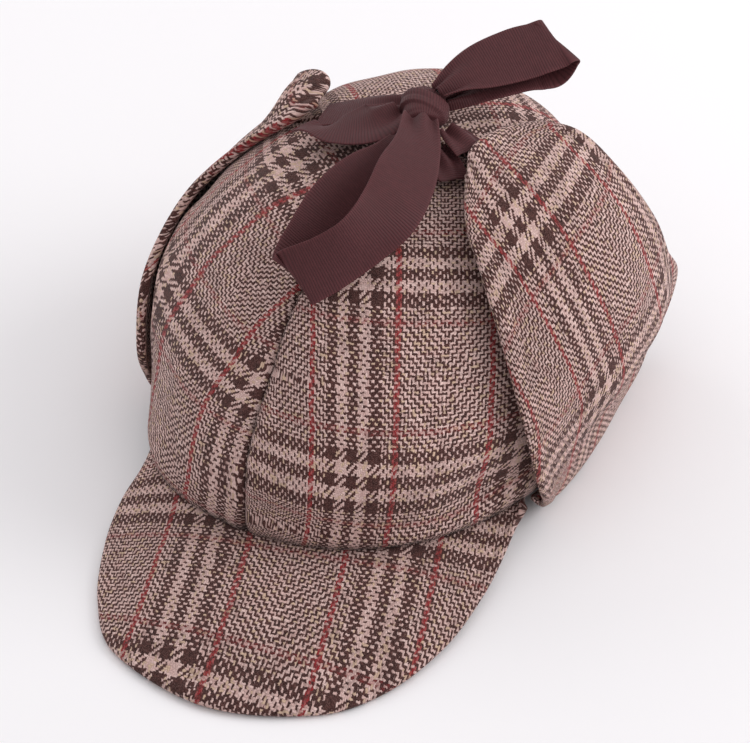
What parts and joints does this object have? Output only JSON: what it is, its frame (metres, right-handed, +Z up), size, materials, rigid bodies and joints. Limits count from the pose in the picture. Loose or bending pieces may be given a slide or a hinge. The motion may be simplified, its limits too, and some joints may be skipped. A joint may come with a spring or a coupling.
{
  "type": "deerstalker hat",
  "caption": "Deerstalker hat with a gored crown, a brim front and back, and ear flaps turned up and tied over the crown with a ribbon bow.",
  "frame": {"origin": "on the surface the hat rests on, under the middle of the hat's bounding box", "axes": "-Y out of the front brim, +Z up out of the crown, X across the head"},
  "size_m": [0.192, 0.3345, 0.1388],
  "materials": {
    "tweed": "matte woollen check",
    "ribbon": "ribbed ribbon with a soft sheen"
  },
  "bodies": {
    "root": {"crown_gore_front_left": "tweed", "crown_gore_front_right": "tweed", "crown_gore_back_right": "tweed", "crown_gore_back_left": "tweed", "front_brim": "tweed", "back_brim": "tweed", "ear_flap_right": "tweed", "ear_flap_left": "tweed", "bow_loop_front": "ribbon", "bow_loop_right": "ribbon", "bow_tie_left": "ribbon", "bow_tail_left": "ribbon", "bow_tie_right": "ribbon", "bow_tail_right": "ribbon", "bow_knot": "ribbon"}
  },
  "joints": []
}
